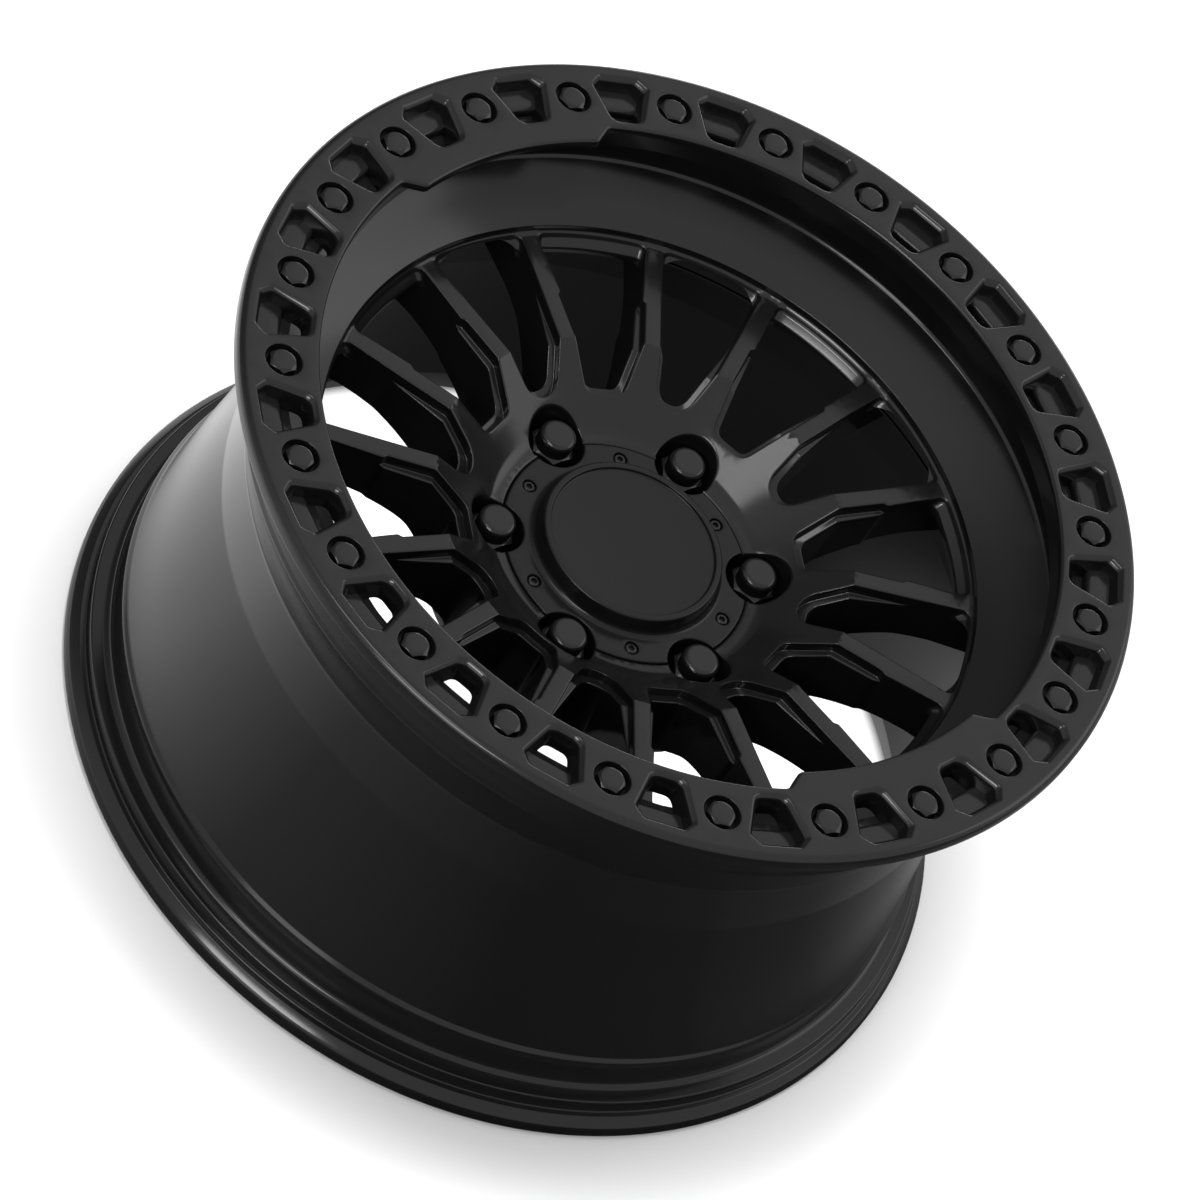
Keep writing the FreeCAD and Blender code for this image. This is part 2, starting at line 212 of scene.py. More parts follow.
def edgeRows(loop, height, radius, steps=4, outer=False):  # rounded edge of a hole or of an outline
    side = outward(loop) * (-radius if outer else radius)
    rows = []
    for k in range(steps + 1):
        a = quarter * k / steps
        place = loop + side * (1 - math.sin(a))
        rows.append(lift(place, height(radiusOf(place)) - radius * (1 - math.cos(a))))
    return rows


mostReach = 0.48  # share of a side that the easing of one corner may take
easeSteps = 4


def softRows(corners, reaches):  # rows from corner line to corner line, each inner corner eased
    rows = []
    for i, (before, here, after) in enumerate(zip(corners, corners[1:], corners[2:])):
        back, ahead = before - here, after - here
        backLong = np.maximum(np.linalg.norm(back, axis=1, keepdims=True), 1e-6)
        aheadLong = np.maximum(np.linalg.norm(ahead, axis=1, keepdims=True), 1e-6)
        reach = np.minimum(reaches[i], mostReach * np.minimum(backLong, aheadLong))
        start = here + back / backLong * reach
        if i == 0:
            start, reach = before, np.minimum(reaches[i], mostReach * aheadLong)
        stop = here + ahead / aheadLong * reach
        for t in np.linspace(0, 1, easeSteps + 1):
            rows.append(start * (1 - t) ** 2 + here * 2 * t * (1 - t) + stop * t ** 2)
    rows.append(corners[-1])
    return rows


# Objects

def smoothMesh(mesh, crease):
    mesh.shade_smooth()
    mesh.set_sharp_from_angle(angle=math.radians(crease))


def linked(name, data):
    piece = bpy.data.objects.new(name, data)
    bpy.context.scene.collection.objects.link(piece)
    return piece


def makeObject(name, surfaces, material, crease=creaseAngle):
    points, faces, base = [], [], 0
    for p, f in surfaces:
        points.append(p)
        faces += [tuple(i + base for i in face) for face in f]
        base += len(p)
    mesh = bpy.data.meshes.new(name)
    mesh.from_pydata((np.concatenate(points) * mm).tolist(), [], faces)
    work = bmesh.new()
    work.from_mesh(mesh)
    bmesh.ops.remove_doubles(work, verts=work.verts, dist=weldGap * mm)
    bmesh.ops.dissolve_degenerate(work, dist=weldGap * mm / 2, edges=work.edges)
    work.to_mesh(mesh)
    work.free()
    mesh.materials.append(material)
    smoothMesh(mesh, crease)
    return linked(name, mesh)


def polarTree():  # copies the incoming mesh round the axis
    tree = bpy.data.node_groups.new("polarCopies", "GeometryNodeTree")
    inputs = (("Geometry", "Geometry"), ("Count", "Int"), ("First angle", "Float"), ("Material", "Material"))
    for label, kind in inputs:
        tree.interface.new_socket(label, in_out="INPUT", socket_type="NodeSocket" + kind)
    tree.interface.new_socket("Geometry", in_out="OUTPUT", socket_type="NodeSocketGeometry")
    new, link = tree.nodes.new, tree.links.new
    start, end = new("NodeGroupInput"), new("NodeGroupOutput")
    line = new("GeometryNodeMeshLine")
    line.inputs["Offset"].default_value = (0, 0, 0)
    link(start.outputs["Count"], line.inputs["Count"])
    index = new("GeometryNodeInputIndex")
    stepAngle = new("ShaderNodeMath")
    stepAngle.operation = "DIVIDE"
    stepAngle.inputs[0].default_value = fullTurn
    link(start.outputs["Count"], stepAngle.inputs[1])
    angle = new("ShaderNodeMath")
    angle.operation = "MULTIPLY_ADD"
    link(index.outputs[0], angle.inputs[0])
    link(stepAngle.outputs[0], angle.inputs[1])
    link(start.outputs["First angle"], angle.inputs[2])
    turn = new("ShaderNodeCombineXYZ")
    link(angle.outputs[0], turn.inputs["Z"])
    copies = new("GeometryNodeInstanceOnPoints")
    link(line.outputs["Mesh"], copies.inputs["Points"])
    link(start.outputs["Geometry"], copies.inputs["Instance"])
    link(turn.outputs[0], copies.inputs["Rotation"])
    real = new("GeometryNodeRealizeInstances")
    link(copies.outputs[0], real.inputs[0])
    paint = new("GeometryNodeSetMaterial")
    link(real.outputs[0], paint.inputs["Geometry"])
    link(start.outputs["Material"], paint.inputs["Material"])
    link(paint.outputs[0], end.inputs[0])
    return tree


polarCopies = polarTree()


def repeatRound(piece, count, firstDegrees, material):
    modifier = piece.modifiers.new("copies", "NODES")
    modifier.node_group = polarCopies
    values = {"Count": count, "First angle": math.radians(firstDegrees), "Material": material}
    for item in polarCopies.interface.items_tree:
        if item.in_out == "INPUT" and item.name in values:
            modifier[item.identifier] = values[item.name]
    bpy.context.view_layer.update()
    ready = piece.evaluated_get(bpy.context.evaluated_depsgraph_get())
    mesh = bpy.data.meshes.new_from_object(ready)
    piece.modifiers.remove(modifier)
    old, piece.data = piece.data, mesh
    mesh.name = piece.name
    bpy.data.meshes.remove(old)
    return piece


def joinPieces(name, members, sharpRings=()):  # one mesh from several, sharp at the given radii
    work = bmesh.new()
    for member in members:
        work.from_mesh(member.data)
    bmesh.ops.remove_doubles(work, verts=work.verts, dist=weldGap * mm)
    mesh = bpy.data.meshes.new(name)
    work.to_mesh(mesh)
    work.free()
    mesh.materials.append(members[0].data.materials[0])
    for member in members:
        data = member.data
        bpy.data.objects.remove(member)
        bpy.data.meshes.remove(data)
    smoothMesh(mesh, creaseAngle)
    radius = radiusOf(np.array([v.co[:2] for v in mesh.vertices]) / mm)
    pairs = np.array([e.vertices[:] for e in mesh.edges])
    for sharpR in sharpRings:
        for i in np.flatnonzero((np.abs(radius[pairs] - sharpR) < near).all(1)):
            mesh.edges[i].use_edge_sharp = True
    return linked(name, mesh)


# Materials

finish = {"black": (0.005, 0.005, 0.0053), "grain": 0.01, "grainDepth": 0.0003, "detail": 3, "spread": 0.03}


def coat(name, roughness, grainSize, specular=0.5):  # dark coat with a faint grain
    material = bpy.data.materials.new(name)
    material.use_nodes = True
    nodes, link = material.node_tree.nodes, material.node_tree.links.new
    shader = nodes["Principled BSDF"]
    shader.inputs["Base Color"].default_value = (*finish["black"], 1)
    shader.inputs["Specular IOR Level"].default_value = specular
    place = nodes.new("ShaderNodeTexCoord")
    noise = nodes.new("ShaderNodeTexNoise")
    noise.inputs["Scale"].default_value = grainSize
    noise.inputs["Detail"].default_value = finish["detail"]
    link(place.outputs["Object"], noise.inputs["Vector"])
    bump = nodes.new("ShaderNodeBump")
    bump.inputs["Strength"].default_value = finish["grain"]
    bump.inputs["Distance"].default_value = finish["grainDepth"]
    link(noise.outputs["Fac"], bump.inputs["Height"])
    link(bump.outputs["Normal"], shader.inputs["Normal"])
    rough = nodes.new("ShaderNodeMapRange")
    rough.inputs["To Min"].default_value = roughness - finish["spread"]
    rough.inputs["To Max"].default_value = roughness + finish["spread"]
    link(noise.outputs["Fac"], rough.inputs["Value"])
    link(rough.outputs["Result"], shader.inputs["Roughness"])
    return material


castingCoat = coat("castingCoat", 0.16, 900)
ringCoat = coat("ringCoat", 0.16, 900)
boltCoat = coat("boltCoat", 0.12, 1200)
nutCoat = coat("nutCoat", 0.12, 1200)
capPlastic = coat("capPlastic", 0.18, 900, specular=0.3)
print("materials ready")


# Casting; a corner is (radius, height, rounding) in a section and (radius, half width, rounding) in a window

rim = {
    "sides": 320, "longest": 30.0, "profileSteps": 5, "faceGap": 4.0, "rearGap": 5.0,  # how fine the mesh is
    "spokeR": 172.0, "spokeZ": 75.7, "hollow": 2.5, "hollowRows": (0.9, 1.7), "faceEndR": 174.3,
    "windowOutR": 196.0, "windowRearZ": 46.0, "rearEndR": 197.4,
    "rearFace": [(88.0, 0.0, 0), (91.0, 3.0, 10), (97.0, 18.0, 30), (113.0, 33.9, 40), (140.0, 46.1, 100),
                 (190.5, 46.1, 10), (197.5, 42.6, 0)],
    "barrel": [(197.5, 41.0, 6), (197.5, 19.2, 2), (209.3, -81.3, 12), (211.3, -98.8, 6)],
    "rearFlange": [(222.0, -124.3, 3), (235.9, -124.3, 4.4), (235.9, -115.0, 4.4), (231.0, -110.7, 1.6),
                   (227.8, -110.7, 0.8), (227.8, -102.3, 1.0)],
    "rearSeat": [(217.9, -102.3, 4.0), (217.3, -87.0, 3), (218.6, -81.4, 2.5), (216.2, -78.3, 4)],
    "well": [(203.5, 22.7, 16), (204.5, 59.7, 16)],
    "frontSeat": [(219.0, 95.3, 2.5), (218.3, 98.4, 3), (218.3, 122.2, 0.6)],
    "dish": [(206.5, 122.2, 0.6), (207.7, 96.3, 3.5), (174.5, 80.7, 0.8), (174.5, 78.2, 0)],
}
hub = {
    "kneeR": 111.0, "kneeZ": 73.4, "coneR": 72.9, "coneZ": 46.2, "coneRound": 14.0, "edge": 1.2,
    "seatR": 65.6, "annulusZ": 44.9, "openingZ": 34.0, "capSeatZ": 40.5,
    "padR": 88.0, "padGap": 8.0, "padSides": 192,
    "boreR": 53.1, "boreLength": 28.0, "spigotR": 50.0, "boreSides": 160,
    "lugs": 6, "lugCircleR": 69.85, "lugPocketR": 15.3, "lugTopZ": 40.6, "lugFloorZ": 17.3, "lugSeatR": 12.2,
    "lugHoleR": 8.0, "lugHoleLength": 10.0, "lugSides": 64, "bayPoints": 33, "seatPoints": 9,
}
window = {
    "pairs": 8, "flatFirst": 22.5, "roundFirst": 0.0,
    "flatTop": [(88.6, 10.1, 5.0), (110.5, 18.9, 22.0), (134.6, 23.6, 1.6), (137.0, 22.35, 2.2),
                (170.6, 30.6, 3.5)],
    "flatThrough": [(94.0, 8.1, 4.5), (110.5, 14.8, 20.0), (134.6, 20.6, 1.6), (137.0, 22.35, 2.2),
                    (165.8, 29.42, 3.2)],
    "roundTop": [(89.0, 7.8, 10.6), (110.5, 15.6, 22.0), (142.2, 22.05, 20.0), (171.1, 28.0, 3.5)],
    "roundThrough": [(95.3, 5.9, 7.0), (110.9, 11.6, 16.0), (142.2, 22.05, 20.0), (166.2, 27.0, 3.2)],
    "endTop": 173.3, "endThrough": 168.4,  # radius of the outer end
    "flatSpans": (8, 8, 2, 10), "roundSpans": (10, 12, 10), "hubSpan": 8, "endSpan": 16,  # faces per side
    "shelf": 6.3, "shelfSlope": 0.7, "shelfDrop": 0.15, "shelfEndR": 140.0, "shelfFade": 25.0,
    "edge": 1.1, "endEdge": 0.45, "ease": (1.1, 0.9, 1.2), "land": 3.0,
    "steep": 0.245, "steepZ": 73.4, "slopeZ": 69.6, "underZ": 66.2, "underSlope": 0.47,
    "cutHalf": 26.0, "cutTopHalf": 14.5, "cutEndR": 193.0, "cutLip": 1.5,
    "cutRows": (0.15, 0.35, 0.6, 0.8, 1.0), "wallStep": 0.05,
    "skinZ": 74.3, "skinSlope": 0.4, "leastLip": 0.45, "leastSlope": 0.02,
    "flankPast": 0.8, "flankOver": 0.3, "flankPoints": 5, "arcPoints": 14,
}
rearLine = roundOff(rim["rearFace"], closed=False)
faceLine = roundOff([(hub["seatR"], hub["annulusZ"], 0), (hub["coneR"], hub["coneZ"], hub["coneRound"]),
                     (hub["kneeR"], hub["kneeZ"], 0), (rim["spokeR"], rim["spokeZ"], 0)], closed=False)


def faceZ(radius):  # hub annulus, cone, spokes and the hollow at the foot of the dish
    flat = np.interp(radius, faceLine[:, 0], faceLine[:, 1])
    rise = np.clip(radius - rim["spokeR"], 0, rim["hollow"])
    return flat + rim["hollow"] - np.sqrt(rim["hollow"] ** 2 - rise ** 2)


def rearZ(radius):
    return np.interp(radius, rearLine[:, 0], rearLine[:, 1])


def underZ(radius):  # underside of the dish, behind the windows
    return window["underZ"] + (radius - window["endThrough"]) * window["underSlope"]


def cutZ(across):  # slanting side of the cut under the dish, behind a round window
    share = (np.abs(across) - window["cutTopHalf"]) / (window["cutHalf"] - window["cutTopHalf"])
    z = rim["spokeZ"] + (window["slopeZ"] - rim["spokeZ"]) * np.clip(share, 0, 1)
    return np.where(share > 1, -1000.0, z)  # far below where there is no cut


def cutUnderZ(points):
    radius = radiusOf(points)
    skin = window["skinZ"] + (radius - rim["spokeR"]) * window["skinSlope"]
    return np.maximum(underZ(radius), np.minimum(cutZ(points[:, 1]), skin))


def windowPath(kind, level):  # the top and the through loop of a kind have the same number of points
    half, endR = window[kind + level], window["end" + level]
    corners = roundOff(bothSides(half))
    per, sides = cornerSteps + 1, len(half)
    blocks = [corners[i * per:(i + 1) * per] for i in range(2 * sides)]
    along = window[kind + "Spans"]
    spans = [*along, window["endSpan"], *reversed(along), window["hubSpan"]]
    order = []
    for i, (block, span) in enumerate(zip(blocks, spans)):  # outwards on -v, across the end, inwards on +v
        following = blocks[(i + 1) % len(blocks)][0]
        order += [block, np.linspace(block[-1], following, span + 1)[1:-1]]
    end = order[2 * sides - 2:2 * sides + 1]
    for part in end:  # the outer end follows a circle
        part[:, 0] += np.sqrt(endR ** 2 - part[:, 1] ** 2) - math.sqrt(endR ** 2 - half[-1][1] ** 2)
    endStart = sum(len(part) for part in order[:2 * sides - 2])
    endStop = endStart + sum(len(part) for part in end)
    return np.concatenate(order), endStart, endStop


def flankLine(start, before, radius):  # direction of a spoke's flank, and the way along it to a radius
    along = start - before
    along /= np.linalg.norm(along)
    startR = np.linalg.norm(start)
    return along, (radius - startR) / float(along @ start) * startR


def windowWalls(kind):
    top, endStart, endStop = windowPath(kind, "Top")
    through, _, _ = windowPath(kind, "Through")
    end = np.arange(endStart, endStop)
    sides = np.r_[endStop - 1:len(top), 0:endStart + 1]
    share = np.clip((radiusOf(top) - window["shelfEndR"]) / window["shelfFade"], 0, 1)  # 1 at the outer end
    share[end] = 1
    lip = top + outward(top) * (window["edge"] + (window["endEdge"] - window["edge"]) * share)[:, None]
    z = faceZ(radiusOf(top))
    shelfZ = z - window["shelf"]
    edge = lift(top, z)
    middle = lift(top + (through - top) * (share * window["steep"])[:, None],
                  shelfZ + (window["steepZ"] - shelfZ) * share)
    risen = shelfZ - window["shelfDrop"] + window["shelfSlope"] * (faceZ(radiusOf(through)) - z)
    low = lift(through, risen + (window["slopeZ"] - risen) * share)
    onward = low - np.array((0, 0, window["land"]))
    first = lift(through, window["underZ"])
    if kind == "round":  # the cut leaves only the two corners of the sloping end
        cut = cutZ(top[:, 1])
        fall = window["steepZ"] - window["slopeZ"]
        upper = np.clip((z - cut) / (z - window["steepZ"]), window["leastLip"], 1)[:, None]
        lower = np.clip((window["steepZ"] - cut) / fall, window["leastSlope"], 1)[:, None]
        low[end] = (edge + (middle - edge) * upper + (low - middle) * lower)[end]
        middle[end] = (edge + (middle - edge) * upper)[end]
        thin = end[cut[end] > 0]
        out = low[:, :2] * (1 + window["cutLip"] / radiusOf(low[:, :2])[:, None])
        onward[thin] = lift(out, cutUnderZ(out))[thin]
        first[thin] = onward[thin]
    rows = softRows([lift(lip, faceZ(radiusOf(lip))), edge, middle, low, onward], window["ease"])
    rear = lift(through, rearZ(radiusOf(through)))
    surfaces = [strip(rows), strip([onward[sides], rear[sides]], closed=False)]
    surfaces.append(dishUnderside(kind, onward[end], first[end]))
    for i, j, flip in ((endStart, endStart - 1, False), (endStop - 1, endStop % len(top), True)):
        along, reach = flankLine(through[i], through[j], rim["windowOutR"] + window["flankPast"])
        line = through[i] + np.outer(np.linspace(0, reach, window["flankPoints"]), along)
        lineR = radiusOf(line)
        upper = lift(line, underZ(lineR) + window["flankOver"])
        upper[0, 2] = onward[i, 2]
        surfaces.append(strip([upper, lift(line, rearZ(lineR))], closed=False, flip=flip))
    return surfaces, lip


def dishUnderside(kind, wallEnd, first):  # from the outer end of a window to the barrel
    startR = radiusOf(first[:, :2])[:, None]
    away = first[:, :2] / startR
    rows = [wallEnd, first]
    if kind == "round":
        for part in window["cutRows"]:
            place = away * (startR + (window["cutEndR"] - startR) * part)
            rows.append(lift(place, cutUnderZ(place)))
        rows.append(lift(away * (window["cutEndR"] + window["wallStep"]), underZ(window["cutEndR"])))
    rows.append(lift(away * rim["windowOutR"], underZ(rim["windowOutR"])))
    return strip(rows, closed=False)


def rearHole(kind):  # outline of the open space between two spokes, seen from behind
    loop, endStart, endStop = windowPath(kind, "Through")
    sides = np.concatenate((loop[endStop - 1:], loop[:endStart + 1]))
    angles = []
    for start, before in ((sides[-1], sides[-2]), (sides[0], sides[1])):
        along, reach = flankLine(start, before, rim["windowOutR"])
        x, y = start + along * reach
        angles.append(math.atan2(y, x))
    return np.concatenate((sides, arc(rim["windowOutR"], np.linspace(*angles, window["arcPoints"]))))


def lugBays(radius, bayR, between, inwards=False):  # circle with a bay round each lug, let in or let out
    lug, step = hub["lugCircleR"], 360 / hub["lugs"]
    side = math.acos((lug ** 2 + radius ** 2 - bayR ** 2) / (2 * lug * radius))
    half = math.atan2(radius * math.sin(side), radius * math.cos(side) - lug)
    bay = arc(bayR, np.linspace(-half, half - fullTurn if inwards else half, hub["bayPoints"]), lug)
    rest = arc(radius, np.linspace(side, math.radians(step) - side, between)[1:-1])
    loop = np.concatenate((bay, rest))
    return np.concatenate([turnPoints(loop, step * i) for i in range(hub["lugs"])])


def lugCircle(key):
    return circle(hub[key], hub["lugSides"], hub["lugCircleR"])


def lugHoles():
    pocket, seat, hole = lugCircle("lugPocketR"), lugCircle("lugSeatR"), lugCircle("lugHoleR")
    rows = [lift(pocket, hub["lugTopZ"]), lift(pocket, hub["lugFloorZ"]), lift(seat, hub["lugFloorZ"]),
            lift(hole, hub["lugHoleLength"]), lift(hole, 0.0)]
    return repeatRound(makeObject("lugHoles", [strip(rows)], castingCoat), hub["lugs"], 0.0, castingCoat)


valve = {
    "holeR": 5.75, "angle": 195.0, "inR": 191.1, "inZ": 88.5, "outR": 211.4, "outZ": 77.5,
    "sides": 32, "columns": 4, "meshGap": 3.0, "rounds": 12,
}


def valveLoop(first, last):  # where the valve hole meets the cone through two points (radius, height)
    start = np.array((valve["inR"], 0, valve["inZ"]))
    along = np.array((valve["outR"], 0, valve["outZ"])) - start
    along /= np.linalg.norm(along)
    across = np.array((0, 1.0, 0))
    upright = np.cross(along, across)
    turn = -np.arange(valve["sides"]) * fullTurn / valve["sides"]
    points = start + valve["holeR"] * (np.outer(np.cos(turn), upright) + np.outer(np.sin(turn), across))
    slope = (last[1] - first[1]) / (last[0] - first[0])
    for _ in range(valve["rounds"]):  # each round comes closer to the cone
        gap = points[:, 2] - first[1] - (radiusOf(points[:, :2]) - first[0]) * slope
        points = points - np.outer(gap / (along[2] - slope * along[0]), along)
    return lift(turnPoints(points[:, :2], valve["angle"]), points[:, 2])


def drilled(shell, profile, first, last, flip):  # opens a revolved cone for the valve hole
    points, faces = shell
    count = rim["sides"]
    slope = (last[1] - first[1]) / (last[0] - first[0])
    coneZ = lambda radius: first[1] + (radius - first[0]) * slope
    radius, z = profile[:, 0], profile[:, 1]
    low, high = sorted((first[0], last[0]))
    onLine = (np.abs(z - coneZ(radius)) < near) & (radius > low - near) & (radius < high + near)
    a, b = np.flatnonzero(onLine)[[0, -1]]
    middle = round(valve["angle"] / 360 * count)
    i, k = middle - valve["columns"], middle + valve["columns"]
    kept = [f for f in faces if not (a <= f[0] // count < b and i <= f[0] % count < k)]
    border = [a * count + c for c in range(i, k)] + [j * count + k for j in range(a, b)]
    border += [b * count + c for c in range(k, i, -1)] + [j * count + i for j in range(b, a, -1)]
    hole = valveLoop(first, last)
    patch = plate(points[border][:, :2], [hole[:, :2]], coneZ, valve["meshGap"], flip=flip)
    return (points, kept), patch, hole


def turnedShell():  # barrel, rear flange, tyre seats, well and dish, with the valve hole
    outR, footR = rim["windowOutR"], rim["faceEndR"]
    outside = [(outR, underZ(outR), 0), (outR, rim["windowRearZ"], 0)]
    for part in ("barrel", "rearFlange", "rearSeat", "well", "frontSeat", "dish"):
        outside += rim[part]
    outside.append((footR, float(faceZ(footR)), 0))
    profile = refine(roundOff(outside, rim["profileSteps"], closed=False), rim["longest"])
    _, dishCorner, dishFoot, _ = rim["dish"]
    shell = revolve(profile, rim["sides"])
    shell, dishPatch, holeIn = drilled(shell, profile, dishCorner[:2], dishFoot[:2], False)
    shell, slopePatch, holeOut = drilled(shell, profile, rim["well"][-1][:2], rim["frontSeat"][0][:2], True)
    return [shell, dishPatch, slopePatch, strip([holeIn, holeOut], flip=True)]


def castWheel():
    kinds = ("flat", "round")
    parts, lips = [], {}
    for kind in kinds:
        walls, lips[kind] = windowWalls(kind)
        piece = makeObject(kind + "Windows", walls, castingCoat)
        parts.append(repeatRound(piece, window["pairs"], window[kind + "First"], castingCoat))
    holes, rearHoles = [], []
    for i in range(window["pairs"]):
        for kind in kinds:
            turn = window[kind + "First"] + 360 / window["pairs"] * i
            holes.append(turnPoints(lips[kind], turn))
            rearHoles.append(turnPoints(rearHole(kind), turn))
    opening = lugBays(hub["seatR"], hub["lugPocketR"], hub["seatPoints"])
    holes.append(opening + outward(opening) * hub["edge"])
    hollowRows = [rim["spokeR"] + step for step in rim["hollowRows"]]
    bends = [*faceLine[1:-2, 0], hub["kneeR"], rim["spokeR"], *hollowRows]
    face = plate(circle(rim["faceEndR"], rim["sides"]), holes, faceZ, rim["faceGap"], bends)
    openingWall = strip([*edgeRows(opening, faceZ, hub["edge"]), lift(opening, hub["openingZ"])])
    padEdge, boreEdge = circle(hub["padR"], hub["padSides"]), circle(hub["boreR"], hub["boreSides"])
    rearEdge = circle(rim["rearEndR"], rim["sides"])
    rear = plate(rearEdge, [*rearHoles, padEdge], rearZ, rim["rearGap"], flip=True)
    lugs = [turnPoints(lugCircle("lugHoleR"), 360 / hub["lugs"] * i) for i in range(hub["lugs"])]
    pad = plate(padEdge, [*lugs, boreEdge], flatAt(0.0), hub["padGap"], flip=True)
    boreLine = [(hub["spigotR"], hub["capSeatZ"]), (hub["spigotR"], hub["boreLength"]),
                (hub["boreR"], hub["boreLength"]), (hub["boreR"], 0.0)]
    bore = revolve(boreLine, hub["boreSides"])
    core = makeObject("core", [face, rear, openingWall, pad, bore, *turnedShell()], castingCoat)
    return joinPieces("castWheel", [core, *parts, lugHoles()], sharpRings=[hub["kneeR"]])


wheel = castWheel()
print("casting", len(wheel.data.polygons))


# Clamp ring

ring = {
    "count": 24, "sides": 320, "faceGap": 7.0, "backGap": 9.0,
    "outerR": 235.5, "faceZ": 136.2, "clampR": 219.0, "clampZ": 126.3, "backZ": 122.2,
    "edge": 4.0, "edgeEnd": 4.001, "clampEdge": 2.5, "stepEdge": 0.5, "edgeSteps": 7,
    "innerR": 194.6, "innerEdge": 1.8, "tabR": 185.2, "tabHalf": 16.9, "tabRootHalf": 19.4, "tabThick": 5.0,
    "shoulder": 4.5,
    "tabRoom": 0.02, "rootRoom": 0.03, "arcRoom": 0.035, "tabPoints": 40, "arcPoints": 150,
    "boltR": 213.0, "sinkR": 9.4, "sinkZ": 128.2, "sinkEdge": 0.5, "shankR": 3.0, "sinkSides": 64,
    "pocketTop": [(198.4, 8.6, 6.0), (222.0, 16.0, 2.4), (228.2, 10.6, 2.4)],
    "pocketMid": [(200.4, 6.9, 5.0), (221.0, 13.6, 2.0), (225.9, 9.4, 2.0)],
    "pocketFloor": [(200.9, 6.0, 4.4), (219.6, 12.2, 1.8), (224.5, 8.8, 1.8)],
    "pocketEdge": 1.0, "pocketEase": 1.5, "bevel": 2.2, "depth": 8.9,
    "drainR": 212.2, "drainEdge": 2.6, "bendSteps": 4, "tuck": 0.3, "ledgePoints": 7,
}


def tabbedCircle():  # inner edge with its two tabs
    inner, tab = ring["innerR"], ring["tabR"]
    a, b = math.radians(ring["tabHalf"]), math.radians(ring["tabRootHalf"])
    tabArc = arc(tab, np.linspace(-a + ring["tabRoom"], a - ring["tabRoom"], ring["tabPoints"]))
    after = b + ring["rootRoom"]
    shoulder = roundOff([
        (*tabArc[-1], 0), (tab * math.cos(a), tab * math.sin(a), ring["shoulder"]),
        (inner * math.cos(b), inner * math.sin(b), ring["shoulder"]),
        (inner * math.cos(after), inner * math.sin(after), 0)], closed=False)
    start = b + ring["arcRoom"]
    longArc = arc(inner, np.linspace(start, math.pi - start, ring["arcPoints"]))
    half = np.concatenate((tabArc[:-1], shoulder, longArc, shoulder[::-1] * (-1, 1)))
    return np.concatenate((half, -half))


def pocketLedge(floorZ):  # floor of a pocket: a ledge outside, open to the back inside
    inner, side, outer = ring["pocketFloor"]
    edgeR, bendR = ring["drainR"], ring["drainEdge"]
    places, halves, _ = zip(inner, side, outer)
    halfAt = lambda u: np.interp(u, places, halves)
    turn = np.linspace(0, quarter, ring["bendSteps"] + 1)
    bend = [(edgeR + bendR * (1 - math.sin(a)), floorZ - bendR * (1 - math.cos(a))) for a in turn]
    shape = [(outer[0] + ring["tuck"], floorZ), (side[0], floorZ), *bend, (edgeR, ring["backZ"])]
    rows = []
    for u, z in shape:
        half = halfAt(u) + ring["tuck"] * (u > bend[0][0])
        rows.append(np.array([(u, half * t, z) for t in np.linspace(-1, 1, ring["ledgePoints"])]))
    drain = roundOff([(edgeR, halfAt(edgeR), 0), inner, (inner[0], -inner[1], inner[2]),
                      (edgeR, -halfAt(edgeR), 0)], closed=False)
    above = [np.array((u, halfAt(u))) for u, z in bend[:-1]]
    line = np.concatenate((above, drain[:1], drain, drain[-1:], [p * (1, -1) for p in above[::-1]]))
    low = np.full(len(line), ring["backZ"])
    low[:len(bend)] = low[:-len(bend) - 1:-1] = [z for u, z in bend]
    wall = strip([lift(line, floorZ), lift(line, low)], closed=False)
    return strip(rows, closed=False), drain, wall


def ringSinks():  # counterbores of the bolts
    sink = circle(ring["sinkR"], ring["sinkSides"], ring["boltR"])
    shank = circle(ring["shankR"], ring["sinkSides"], ring["boltR"])
    rows = edgeRows(sink, flatAt(ring["faceZ"]), ring["sinkEdge"], steps=3)
    rows += [lift(sink, ring["sinkZ"]), lift(shank, ring["sinkZ"])]
    return repeatRound(makeObject("sinks", [strip(rows)], ringCoat), ring["count"], 0.0, ringCoat)


